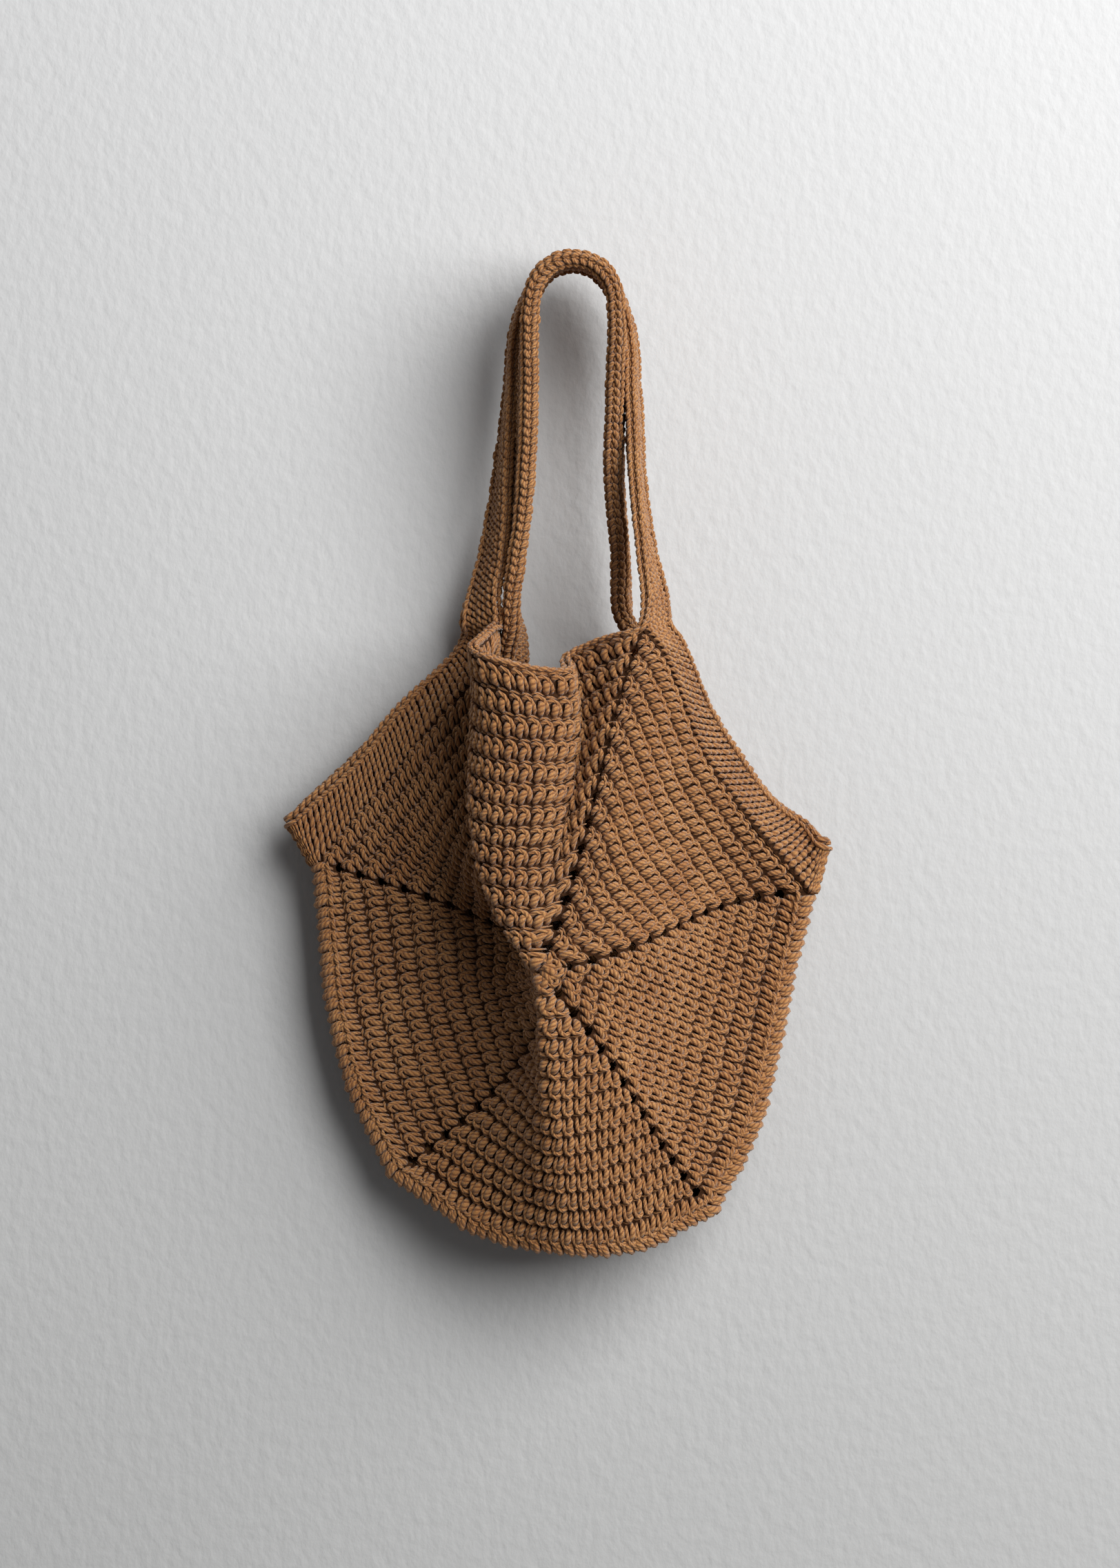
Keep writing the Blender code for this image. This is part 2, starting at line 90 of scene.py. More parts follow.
def ramp(tree, factor, *stops):
    """A colour ramp through (place, hex) stops."""
    node = add(tree, "ShaderNodeValToRGB", {"Fac": factor})
    while len(node.color_ramp.elements) < len(stops):
        node.color_ramp.elements.new(0.5)
    for element, (place, code) in zip(node.color_ramp.elements, stops):
        element.position, element.color = place, linear(code)
    return node.outputs["Color"]


def maths(tree, operation, a, b=0.0, c=0.0):
    """One arithmetic step on outputs or numbers."""
    node = add(tree, "ShaderNodeMath", settings={"operation": operation})
    for socket, value in zip(node.inputs, (a, b, c)):
        if isinstance(value, bpy.types.NodeSocket):
            tree.links.new(value, socket)
        else:
            socket.default_value = value
    return node.outputs[0]


plied_cotton = bpy.data.materials.new("plied_cotton_yarn")
plied_cotton.use_nodes = True
tree = plied_cotton.node_tree
shader = tree.nodes["Principled BSDF"]
uv = add(tree, "ShaderNodeUVMap", settings={"uv_map": "strand"})
round_and_along = add(tree, "ShaderNodeSeparateXYZ", {"Vector": uv.outputs["UV"]})
turn = maths(tree, "MULTIPLY", round_and_along.outputs["X"], float(PLIES))
lay = maths(tree, "MULTIPLY_ADD", round_and_along.outputs["Y"], 1 / PLY_LAY_MM, turn)
ply = maths(tree, "SINE", maths(tree, "MULTIPLY", lay, 2 * math.pi))
ply_height = maths(tree, "MULTIPLY_ADD", ply, 0.5, 0.5)
place = add(tree, "ShaderNodeTexCoord")
fibre = add(tree, "ShaderNodeTexNoise", {"Vector": place.outputs["Object"]}, Scale=1500.0, Detail=3.0, Roughness=0.6)
patch = add(tree, "ShaderNodeTexNoise", {"Vector": place.outputs["Object"]}, Scale=45.0, Detail=2.0)
# Painted shade: the grooves between the plies are coloured darker than the ridges.
painted_groove_shade = ramp(tree, ply_height, (0.0, YARN_GROOVE_SHADE), (0.55, YARN_LIGHT), (1.0, YARN_LIGHT))
speckle = ramp(tree, fibre.outputs["Fac"], (0.30, "#c9b7a6"), (0.62, "#ffffff"))
shade = ramp(tree, patch.outputs["Fac"], (0.25, "#e3d6c8"), (0.75, "#ffffff"))
mixed = add(tree, "ShaderNodeMix", {6: painted_groove_shade, 7: speckle}, {"data_type": "RGBA", "blend_type": "MULTIPLY"}, _0=1.0)
toned = add(tree, "ShaderNodeMix", {6: mixed.outputs[2], 7: shade}, {"data_type": "RGBA", "blend_type": "MULTIPLY"},
            _0=1.0)
tree.links.new(toned.outputs[2], shader.inputs["Base Color"])
relief = maths(tree, "MULTIPLY_ADD", fibre.outputs["Fac"], 0.45, ply_height)
bump = add(tree, "ShaderNodeBump", {"Height": relief}, Strength=0.75, Distance=0.0004)
tree.links.new(bump.outputs["Normal"], shader.inputs["Normal"])
shader.inputs["Roughness"].default_value = 0.88
shader.inputs["Specular IOR Level"].default_value = 0.25
shader.inputs["Sheen Weight"].default_value = 0.25
shader.inputs["Sheen Roughness"].default_value = 0.55

# Between the stitches one looks into the cloth, where the same cotton lies in its own shade; that
# shade is painted as the core's dark brown colour.
cotton_core = bpy.data.materials.new("cotton_core_in_shade")
cotton_core.use_nodes = True
tree = cotton_core.node_tree
shader = tree.nodes["Principled BSDF"]
place = add(tree, "ShaderNodeTexCoord")
fibre = add(tree, "ShaderNodeTexNoise", {"Vector": place.outputs["Object"]}, Scale=700.0, Detail=3.0)
tree.links.new(ramp(tree, fibre.outputs["Fac"], (0.3, "#2a190e"), (0.7, PAINTED_CORE_SHADE)), shader.inputs["Base Color"])
bump = add(tree, "ShaderNodeBump", {"Height": fibre.outputs["Fac"]}, Strength=0.6, Distance=0.0005)
tree.links.new(bump.outputs["Normal"], shader.inputs["Normal"])
shader.inputs["Roughness"].default_value = 0.95
shader.inputs["Specular IOR Level"].default_value = 0.1


# The two panels are flat hexagons of 14 rounds of double crochet, worked from the centre with
# a chain space at each corner. Hanging, the front folds into a deep nose and the back into a
# shallow one inside it. The sizes and the fold tables are those of the bag's solid walls.
PANEL_SIDE = 0.193
ROUNDS = 14
CLOTH = 0.0044
HANDLE_DROP = 0.3805
FRONT_DEPTH = 0.065
GAP = 0.0003
# Corners of a hexagon with a side of one, clockwise from the top left as seen from the front
CORNERS = np.array([(math.cos(math.radians(a)), math.sin(math.radians(a)))
                    for a in (120, 60, 0, -60, -120, 180)])
# How far the hanging cloth reaches across and up for each unit of the flat hexagon
MEAN_ACROSS, MEAN_UP = 0.70, 0.86
# The rounds at which the fold tables give a place, as shares of all the rounds
STATIONS = (5 / 14, 10 / 14, 1.0)

# A row for each fold line that runs from the panel's centre to its edge. The first column is
# where it meets the edge, counted in sides from the top left corner. Then come the places at
# three rounds, from the front's centre: across, back and up, in shares of the panel's side.
FRONT_FOLDS = (
    (0.00, (-0.138, 0.096, 0.330), (-0.149, 0.249, 0.670), (-0.119, 0.383, 0.962)),
    (0.20, (-0.153, 0.027, 0.303), (-0.174, 0.107, 0.617), (-0.161, 0.207, 0.908)),
    (0.32, (-0.124, -0.002, 0.293), (-0.149, 0.035, 0.594), (-0.176, 0.104, 0.890)),
    (0.43, (-0.086, -0.019, 0.287), (-0.100, -0.011, 0.580), (-0.160, 0.015, 0.868)),
    (0.50, (-0.063, -0.023, 0.285), (-0.051, -0.027, 0.576), (-0.107, -0.026, 0.848)),
    (0.57, (-0.038, -0.023, 0.285), (0.000, -0.027, 0.575), (-0.046, -0.027, 0.831)),
    (0.71, (0.013, -0.008, 0.287), (0.080, 0.038, 0.580), (0.084, 0.042, 0.824)),
    (0.78, (0.040, 0.004, 0.295), (0.103, 0.084, 0.598), (0.080, 0.119, 0.854)),
    (1.00, (0.121, 0.000, 0.339), (0.213, 0.004, 0.692), (0.287, 0.034, 0.937)),
    (1.50, (0.199, 0.031, 0.203), (0.341, 0.149, 0.416), (0.469, 0.249, 0.573)),
    (1.75, (0.255, 0.067, 0.147), (0.423, 0.258, 0.299), (0.600, 0.357, 0.393)),
    (2.00, (0.307, 0.094, 0.086), (0.510, 0.335, 0.174), (0.751, 0.429, 0.215)),
    (2.25, (0.277, 0.086, 0.006), (0.470, 0.318, 0.016), (0.699, 0.424, -0.002)),
    (2.50, (0.245, 0.080, -0.080), (0.425, 0.303, -0.153), (0.653, 0.412, -0.227)),
    (2.75, (0.227, 0.071, -0.171), (0.389, 0.274, -0.321), (0.594, 0.391, -0.450)),
    (3.00, (0.205, 0.057, -0.261), (0.343, 0.234, -0.489), (0.479, 0.360, -0.670)),
    (3.25, (0.116, 0.023, -0.285), (0.195, 0.162, -0.538), (0.278, 0.299, -0.761)),
    (3.50, (0.034, 0.015, -0.291), (0.046, 0.130, -0.556), (0.067, 0.268, -0.767)),
    (3.75, (0.006, 0.108, -0.250), (-0.083, 0.262, -0.497), (-0.163, 0.353, -0.722)),
    (4.00, (-0.020, 0.212, -0.214), (-0.209, 0.400, -0.425), (-0.397, 0.455, -0.577)),
    (4.25, (-0.048, 0.258, -0.118), (-0.268, 0.425, -0.262), (-0.505, 0.462, -0.354)),
    (4.50, (-0.077, 0.287, -0.042), (-0.316, 0.425, -0.100), (-0.561, 0.460, -0.153)),
    (5.00, (-0.080, 0.303, 0.111), (-0.372, 0.412, 0.222), (-0.611, 0.450, 0.299)),
    (5.50, (-0.115, 0.188, 0.203), (-0.249, 0.335, 0.412), (-0.345, 0.431, 0.617)),
)
BACK_CENTRE = (0.015, 0.249, 0.010)
BACK_FOLDS = (
    (0.00, (-0.015, 0.316, 0.307), (-0.050, 0.431, 0.609), (-0.042, 0.502, 0.843)),
    (0.25, (-0.034, 0.259, 0.293), (-0.080, 0.287, 0.575), (-0.057, 0.335, 0.776)),
    (0.50, (-0.008, 0.201, 0.284), (-0.034, 0.157, 0.556), (-0.042, 0.138, 0.751)),
    (0.75, (0.048, 0.259, 0.301), (0.086, 0.287, 0.590), (0.115, 0.354, 0.805)),
    (1.00, (0.105, 0.335, 0.326), (0.192, 0.431, 0.632), (0.253, 0.494, 0.891)),
    (1.50, (0.192, 0.412, 0.201), (0.364, 0.494, 0.393), (0.459, 0.494, 0.525)),
    (1.75, (0.204, 0.428, 0.146), (0.437, 0.503, 0.282), (0.590, 0.461, 0.367)),
    (2.00, (0.226, 0.431, 0.086), (0.517, 0.502, 0.163), (0.751, 0.429, 0.215)),
    (2.25, (0.229, 0.424, 0.008), (0.495, 0.494, 0.018), (0.699, 0.424, -0.002)),
    (2.50, (0.230, 0.412, -0.073), (0.460, 0.479, -0.134), (0.653, 0.412, -0.227)),
    (2.75, (0.218, 0.390, -0.147), (0.409, 0.449, -0.300), (0.594, 0.391, -0.450)),
    (3.00, (0.192, 0.364, -0.220), (0.345, 0.412, -0.469), (0.479, 0.360, -0.670)),
    (3.25, (0.116, 0.332, -0.241), (0.205, 0.361, -0.513), (0.278, 0.299, -0.761)),
    (3.50, (0.034, 0.316, -0.249), (0.057, 0.335, -0.527), (0.067, 0.268, -0.767)),
    (3.75, (-0.043, 0.347, -0.208), (-0.101, 0.395, -0.458), (-0.163, 0.353, -0.722)),
    (4.00, (-0.115, 0.393, -0.163), (-0.262, 0.472, -0.385), (-0.397, 0.455, -0.577)),
    (4.25, (-0.146, 0.431, -0.090), (-0.318, 0.494, -0.213), (-0.505, 0.462, -0.354)),
    (4.50, (-0.163, 0.460, -0.029), (-0.364, 0.502, -0.077), (-0.561, 0.460, -0.153)),
    (5.00, (-0.144, 0.460, 0.096), (-0.393, 0.502, 0.215), (-0.611, 0.450, 0.299)),
    (5.50, (-0.115, 0.412, 0.207), (-0.239, 0.494, 0.425), (-0.316, 0.502, 0.613)),
)


def unit(v):
    """The vectors of the last axis at length one."""
    v = np.asarray(v, float)
    return v / np.linalg.norm(v, axis=-1, keepdims=True)


def hermite(knots, values, at, period=None):
    """A smooth curve through values at uneven knots, closed when it has a period."""
    knots, values = np.asarray(knots, float), np.asarray(values, float)
    if period:
        knots = np.concatenate([knots[-2:] - period, knots, knots[:2] + period])
        values = np.concatenate([values[-2:], values, values[:2]])
        at = np.mod(at, period)
    step = np.diff(knots)
    slope = np.diff(values, axis=0) / step[:, None]
    inner = (slope[:-1] * step[1:, None] + slope[1:] * step[:-1, None]) / (step[1:] + step[:-1])[:, None]
    tangent = np.concatenate([slope[:1], inner, slope[-1:]])
    i = np.clip(np.searchsorted(knots, at, side="right") - 1, 0, len(step) - 1)
    h = step[i][:, None]
    t = ((at - knots[i]) / step[i])[:, None]
    return ((2 * t**3 - 3 * t**2 + 1) * values[i] + (t**3 - 2 * t**2 + t) * h * tangent[i]
            + (3 * t**2 - 2 * t**3) * values[i + 1] + (t**3 - t**2) * h * tangent[i + 1])


def flat(p, s):
    """Place in the flat hexagon, from p sides along its edge and the share s of its rounds."""
    p = np.mod(p, 6)
    side = np.minimum(np.floor(p).astype(int), 5)
    t = (p - side)[:, None]
    return s[:, None] * (CORNERS[side] * (1 - t) + CORNERS[(side + 1) % 6] * t)


def polar(u, v):
    """The reverse of flat: sides along the edge, and share of the rounds."""
    angle = np.mod(np.degrees(np.arctan2(v, u)), 360)
    turned = np.mod(120 - angle, 360)
    side = np.minimum(np.floor(turned / 60).astype(int), 5)
    a, b = CORNERS[side], CORNERS[(side + 1) % 6]
    det = a[:, 0] * b[:, 1] - a[:, 1] * b[:, 0]
    first = (u * b[:, 1] - v * b[:, 0]) / det
    second = (a[:, 0] * v - a[:, 1] * u) / det
    s = first + second
    return side + np.where(s > 1e-9, second / np.maximum(s, 1e-9), 0.0), s


def spread(p, s):
    """The hanging cloth's mean plane, before its folds."""
    uv = flat(p, s)
    return np.stack([uv[:, 0] * MEAN_ACROSS, np.zeros(len(p)), uv[:, 1] * MEAN_UP], axis=1)


def panel(p, s, folds, centre):
    """Points on a panel's middle surface, in metres."""
    p, s = np.asarray(p, float), np.asarray(s, float)
    knots = [row[0] for row in folds]
    lifts = []
    for column, station in enumerate(STATIONS, start=1):
        table = np.array([row[column] for row in folds]) - centre
        at_knots = spread(np.array(knots), np.full(len(knots), station))
        lifts.append(hermite(knots, table - at_knots, p, period=6))
    stations = (0.0,) + STATIONS
    offset = np.zeros((len(p), 3))
    for i, lift in enumerate(lifts, start=1):
        weight = np.ones(len(p))
        for j, other in enumerate(stations):
            if j != i:
                weight *= (s - other) / (stations[i] - other)
        offset += weight[:, None] * lift
    place = (spread(p, s) + offset + centre) * PANEL_SIDE
    return place + (CENTRE_X, -FRONT_DEPTH, -HANDLE_DROP)


# The front's centre lies a little to the left of the hang point
CENTRE_X = -0.0191
LAYER = np.array([0, CLOTH / 2 + 3 * GAP, 0])


def front(p, s):
    """The front panel's middle surface."""
    p, s = np.atleast_1d(np.asarray(p, float)), np.atleast_1d(np.asarray(s, float))
    return panel(p, s, FRONT_FOLDS, np.zeros(3)) - LAYER * s[:, None] ** 3


def back(p, s):
    """The back panel's middle surface."""
    p, s = np.atleast_1d(np.asarray(p, float)), np.atleast_1d(np.asarray(s, float))
    return panel(p, s, BACK_FOLDS, np.array(BACK_CENTRE)) + LAYER * s[:, None] ** 3


CORE = 0.0010
CORE_STEPS = 3
EYELET_RADIUS = 0.0030
STITCHES = 2 * ROUNDS
STITCH_MM = 1000 * PANEL_SIDE / STITCHES
ROUND_MM = 1000 * PANEL_SIDE * math.sqrt(3) / 2 / ROUNDS
# At a corner the posts keep clear of the eyelet: stitches from the corner line to the last post's
# top and foot, and how far beyond the eyelet's middle the next round's feet begin.
CORNER_TOP = 0.74
CORNER_FOOT = 0.35
CORNER_LIFT_MM = 3.0
# The core reaches this far past the panel's edge, into the rows that are worked onto it.
CORE_REACH = 1.012


def mesh_object(name, points, faces, cotton, strand_uv=None):
    """A smooth mesh of quads or triangles, with the strand's own map where it has one."""
    mesh = bpy.data.meshes.new(name)
    width = faces.shape[1]
    mesh.vertices.add(len(points))
    mesh.vertices.foreach_set("co", np.asarray(points, np.float32).ravel())
    mesh.loops.add(faces.size)
    mesh.loops.foreach_set("vertex_index", np.asarray(faces, np.int32).ravel())
    mesh.polygons.add(len(faces))
    mesh.polygons.foreach_set("loop_start", np.arange(0, faces.size, width, dtype=np.int32))
    if strand_uv is not None:
        layer = mesh.uv_layers.new(name="strand")
        layer.data.foreach_set("uv", np.asarray(strand_uv, np.float32).ravel())
    mesh.update(calc_edges=True)
    mesh.validate()
    mesh.shade_smooth()
    mesh.materials.append(cotton)
    obj = bpy.data.objects.new(name, mesh)
    bpy.context.collection.objects.link(obj)
    return obj


def core_cloth(name, surface, outward, open_rounds):
    """A thin wall through the middle of the cloth, with a hole at each eyelet of the open rounds."""
    rings = CORE_STEPS * ROUNDS
    starts = [0] + [1 + 3 * k * (k - 1) for k in range(1, rings + 1)]
    places = np.concatenate([[[0, 0]]] + [flat(np.arange(6 * k) / k, np.full(6 * k, k / rings))
                                          for k in range(1, rings + 1)])
    places[starts[-1]:] *= CORE_REACH
    faces = []
    for k in range(1, rings + 1):
        for side in range(6):
            for i in range(k):
                a = starts[k] + side * k + i
                b = starts[k] + (side * k + i + 1) % (6 * k)
                c = starts[k - 1] + (side * (k - 1) + i) % max(6 * (k - 1), 1)
                faces.append((a, b, c))
                if i < k - 1:
                    faces.append((c, b, starts[k - 1] + (side * (k - 1) + i + 1) % (6 * (k - 1))))
    faces = np.array(faces)
    holes = np.array([starts[k] + side * k for k in range(CORE_STEPS, CORE_STEPS * open_rounds + 1, CORE_STEPS)
                      for side in range(6)])
    for hole in holes:
        ring = np.unique(faces[np.any(faces == hole, axis=1)])
        ring = ring[ring != hole]
        away = places[ring] - places[hole]
        places[ring] = places[hole] + away / np.linalg.norm(away, axis=1, keepdims=True) * EYELET_RADIUS / PANEL_SIDE
    faces = faces[~np.isin(faces, holes).any(axis=1)]
    points = surface(*polar(places[:, 0], places[:, 1]))
    obj = mesh_object(name, points, faces if outward < 0 else faces[:, ::-1], cotton_core)
    wall = obj.modifiers.new("wall", "SOLIDIFY")
    wall.thickness = CORE
    wall.offset = 0
    return obj


def strand(points, radius, sides=6, flatten=1.0):
    """A short piece of yarn along points in millimetres: its points, quads and strand map."""
    line = np.array(points, float)
    along = unit(np.gradient(line, axis=0))
    side = unit(np.cross(along, (0, 0, 1.0)) + (1e-6, 0, 0))
    up = np.cross(side, along)
    angle = np.arange(sides) * 2 * math.pi / sides
    size = radius * np.minimum(1, 0.62 + 0.38 * np.minimum(np.arange(len(line)), np.arange(len(line))[::-1]))
    rings = line[:, None] + size[:, None, None] * (flatten * np.cos(angle)[None, :, None] * side[:, None]
                                                   + np.sin(angle)[None, :, None] * up[:, None])
    run = np.concatenate([[0], np.cumsum(np.linalg.norm(np.diff(line, axis=0), axis=1))])
    quads, uv = [], []
    for i in range(len(line) - 1):
        for j in range(sides):
            a, b = i * sides + j, i * sides + (j + 1) % sides
            quads.append((a, b, b + sides, a + sides))
            uv.append(((j / sides, run[i]), ((j + 1) / sides, run[i]),
                       ((j + 1) / sides, run[i + 1]), (j / sides, run[i + 1])))
    for end, back_first in ((0, True), (len(line) - 1, False)):
        for ring in ([0, 1, 2, 3], [0, 3, 4, 5])[:sides // 2 - 1]:
            face = [end * sides + j for j in ring]
            quads.append(face[::-1] if back_first else face)
            uv.append([(0.5, run[end])] * 4)
    return rings.reshape(-1, 3), np.array(quads), np.array(uv)


def bundle(*strands):
    """Several strands as one stitch."""
    counts = np.cumsum([0] + [len(s[0]) for s in strands])
    return (np.concatenate([s[0] for s in strands]),
            np.concatenate([s[1] + c for s, c in zip(strands, counts)]),
            np.concatenate([s[2] for s in strands]))


def work(name, stitch, count, lay_on, seed):
    """Many copies of a stitch, each a little different, laid on a surface and joined in one mesh."""
    points, quads, uv = stitch
    rng = np.random.default_rng(seed)
    jitter = rng.normal(0, 1, (count, 1, 3)) * (0.16, 0.14, 0.10)
    size = 1 + rng.normal(0, 0.035, (count, 1, 1))
    lean = rng.normal(0, 0.035, (count, 1))
    copies = points[None] * size + jitter
    copies[..., 0] += lean * (copies[..., 1] - points[:, 1].mean())
    placed = lay_on(np.repeat(np.arange(count), len(points)), copies.reshape(-1, 3))
    faces = (quads[None] + (np.arange(count) * len(points))[:, None, None]).reshape(-1, 4)
    start = rng.uniform(0, PLY_LAY_MM, (count, 1, 1, 1)) * (0, 1)
    strand_uv = (uv[None] + start).reshape(-1, 4, 2)
    a, b, c, d = (placed[faces[:, j]] for j in range(4))
    if np.sum(np.cross(b, c) * a + np.cross(c, d) * a) < 0:
        faces, strand_uv = faces[:, ::-1], strand_uv[:, ::-1]
    return mesh_object(name, placed, faces, plied_cotton, strand_uv)


def on_panel(surface, outward, sides):
    """Where the double crochets of some sides of a panel lie: their count, and the map from a stitch's
    own millimetres to the folded cloth."""
    rows = [(side, k, i) for side in sides for k in range(1, ROUNDS + 1) for i in range(2 * k)]
    side, k, i = np.array(rows).T

    def lay_on(n, mm):
        place = i[n] + 0.5 - k[n]
        corner = (np.abs(place) > k[n] - 1) & (k[n] > 1)
        top = place * (k[n] - CORNER_TOP) / (k[n] - 0.5)
        foot = np.clip(top, CORNER_FOOT + 1 - k[n], k[n] - 1 - CORNER_FOOT)
        foot = np.where(k[n] == 1, place * 0.3, foot)
        top = np.where(k[n] == 1, place * 0.8, top)
        y = np.where(corner, CORNER_LIFT_MM + mm[:, 1] * (1 - CORNER_LIFT_MM / ROUND_MM), mm[:, 1])
        share = np.clip(y / ROUND_MM, 0, 1)
        across = (foot + (top - foot) * share - outward * mm[:, 0] / STITCH_MM) / STITCHES
        radial = (k[n] - 1 + y / ROUND_MM) / ROUNDS
        a, b = CORNERS[side[n]], CORNERS[(side[n] + 1) % 6]
        uv = (a + b) / 2 * radial[:, None] + (b - a) * across[:, None]
        return lifted(surface, uv, mm[:, 2] / 1000 * outward)

    return len(rows), lay_on


def lifted(surface, uv, height):
    """Points at a height off a panel's middle surface."""
    step = 0.004
    reach = [surface(*polar(uv[:, 0] + du, uv[:, 1] + dv)) for du, dv in ((step, 0), (-step, 0), (0, step), (0, -step))]
    normal = unit(np.cross(reach[2] - reach[3], reach[0] - reach[1]))
    return surface(*polar(uv[:, 0], uv[:, 1])) + normal * height[:, None]


# A double crochet: a plump strand rises from the lower left, and the last wrap hooks over it
# from the upper left and comes down on its right. The chain of the round's top closes it above.
double_crochet = bundle(
    strand(((-1.9, 1.2, -0.3), (-1.8, 3.0, 1.8), (-1.1, 5.3, 2.9), (0.0, 7.4, 2.5), (0.8, 8.7, 0.6)), 1.7),
    strand(((-3.3, 7.9, -0.2), (-2.4, 9.9, 1.7), (-0.5, 10.8, 2.8), (1.4, 9.8, 2.9), (2.2, 7.4, 2.3),
            (2.1, 4.6, 1.7), (1.4, 1.9, -0.1)), 1.25),
    strand(((-3.6, 11.4, -0.2), (-1.3, 12.5, 0.9), (1.1, 12.5, 0.9), (3.5, 11.8, -0.1)), 0.85, sides=4),
    strand(((0.0, 11.2, -0.6), (0.2, 7.6, -1.3), (0.1, 4.0, -1.3), (0.0, 0.8, -0.6)), 1.15, flatten=2.2),
)
# The back's eyelets after its ninth round are not cut: there its dark core stays as painted shade
# behind the front's open eyelets.
for panel_name, surface, outward, open_rounds in (("front_panel", front, -1, 13), ("back_panel", back, 1, 9)):
    core = core_cloth(panel_name + "_core", surface, outward, open_rounds)
    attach(core, "root")
    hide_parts(panel_name)
    knit = []
    for half, sides in (("upper", (5, 0, 1)), ("lower", (2, 3, 4))):
        count, lay_on = on_panel(surface, outward, sides)
        knit.append(work(f"{panel_name}_{half}_stitches", double_crochet, count, lay_on, seed=len(panel_name) + sides[0]))
        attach(knit[-1], "root")


# The borders and handles are one band of five rows of single crochet each. It runs up the upper
# sides of the front, over the peg, and round each side corner to the back's.
BAND_WIDTH = 0.0205
PEG_RADIUS = 0.0202
RIM_RADIUS = 0.0017
EDGE_RADIUS = 0.0021
RIM_GAP = 0.0006
BORDER_GAP = 0.0012
HANDLE_SPACING = BAND_WIDTH + 4 * RIM_RADIUS + 3 * RIM_GAP
HANDLE_SECTION_STEP = 0.011
PEG_SECTIONS = 8
FRONT_PEG_ARC = 118.0
BACK_PEG_ARC = 150.0
JUST_INSIDE = 0.97
BAND_ROWS = 5
ROW_MM = 1000 * BAND_WIDTH / BAND_ROWS
# A row for each section of a border: its place along the edge in sides, the way its width points,
# outward from the panel, as across, back and up, and its width as a share of the band's.
FRONT_LEFT_BORDER = ((5.0, -0.50, 0.05, 0.86, 1.22), (5.25, -0.54, 0.14, 0.72, 0.92), (5.5, -0.60, 0.32, 0.60, 0.92),
                     (5.75, -0.68, 0.62, 0.30, 1.0), (6.0, -0.74, 0.66, 0.10, 1.0))
FRONT_RIGHT_BORDER = ((1.0, 0.55, 0.83, 0.05, 1.0), (1.25, 0.45, 0.86, 0.18, 1.0), (1.5, 0.54, 0.74, 0.40, 1.0),
                      (1.75, 0.46, 0.72, 0.50, 1.0), (2.0, 0.25, 0.05, 0.95, 1.22))
BACK_LEFT_BORDER = ((5.0, -0.50, 0.05, 0.86, 1.22), (5.25, -0.56, 0.10, 0.74, 1.0), (5.5, -0.65, 0.05, 0.72, 1.0),
                    (5.75, -0.80, -0.38, 0.40, 1.0), (6.0, -0.50, -0.86, 0.05, 1.0))
BACK_RIGHT_BORDER = ((1.0, 0.35, -0.93, 0.10, 1.0), (1.5, 0.66, 0.16, 0.66, 1.0), (1.75, 0.56, 0.28, 0.64, 1.0),
                     (2.0, 0.25, 0.05, 0.95, 1.22))

# A row for each section of a handle's leg, from its foot up: its height above the front's
# centre, the place of its middle across and back, and the turn of its width in degrees, where
# 0 runs front to back and 90 runs across. Lengths are in shares of the handle's drop, from
# the front's centre to where the handle rests.
FRONT_LEFT_LEG = ((0.519, -0.0783, 0.2090, -36), (0.585, -0.0642, 0.2130, -24), (0.650, -0.0545, 0.2130, -17),
                  (0.690, -0.0501, 0.2130, -12), (0.814, -0.0379, 0.2110, -3), (0.926, -0.0248, 0.2085, 0))
FRONT_RIGHT_LEG = ((0.519, 0.1644, 0.0640, 22), (0.590, 0.1518, 0.0895, 11), (0.690, 0.1396, 0.1265, 5),
                   (0.814, 0.1338, 0.1720, 4), (0.926, 0.1235, 0.2085, 0))
BACK_LEFT_LEG = ((0.491, -0.0331, 0.2120, 10), (0.519, -0.0370, 0.2040, 2), (0.585, -0.0340, 0.1926, -9),
                 (0.650, -0.0268, 0.1820, -12), (0.690, -0.0233, 0.1750, -12), (0.814, -0.0175, 0.1537, -11),
                 (0.926, -0.0117, 0.1330, -3))
BACK_RIGHT_LEG = ((0.493, 0.1265, 0.2140, 4), (0.590, 0.1192, 0.1945, 7), (0.688, 0.1109, 0.1760, 9),
                  (0.814, 0.1114, 0.1537, 7), (0.926, 0.1119, 0.1330, 3))


def tangents(points, closed=False):
    """The way a line of points runs at each of them."""
    if closed:
        return unit(np.roll(points, -1, axis=0) - np.roll(points, 1, axis=0))
    return unit(np.gradient(points, axis=0))


def edge(surface, places):
    """Points along one side of a panel's edge, and the way out of the cloth at each."""
    points = surface(places, np.ones(len(places)))
    along = tangents(points)
    out = points - surface(places, np.full(len(places), JUST_INSIDE))
    return points, unit(out - np.sum(out * along, axis=1, keepdims=True) * along)


def border(surface, rows, places):
    """Inner points, width directions and widths of a border along a panel's edge."""
    table = np.array(rows)
    shape = hermite(table[:, 0], table[:, 1:], places)
    way = unit(shape[:, :3])
    points, out = edge(surface, places)
    turned = 1 - np.sum(way * out, axis=1, keepdims=True)
    return points + out * (BORDER_GAP + turned * CLOTH / 2), way, shape[:, 3:] * BAND_WIDTH


def around_corner(one, two):
    """The border's sections where it turns from the front to the back at a side corner."""
    middle, half = (one[0][-1] + two[0][-1]) / 2, (two[0][-1] - one[0][-1]) / 2
    way = one[1][-1]
    out = unit(np.cross(way, half))
    out *= math.copysign(1, out[0] * middle[0])
    angles = np.radians((-45, 0, 45))
    points = [middle + half * math.sin(a) + out * np.linalg.norm(half) * math.cos(a) for a in angles]
    return np.array(points), np.tile(way, (len(points), 1)), np.tile(one[2][-1], (len(points), 1))


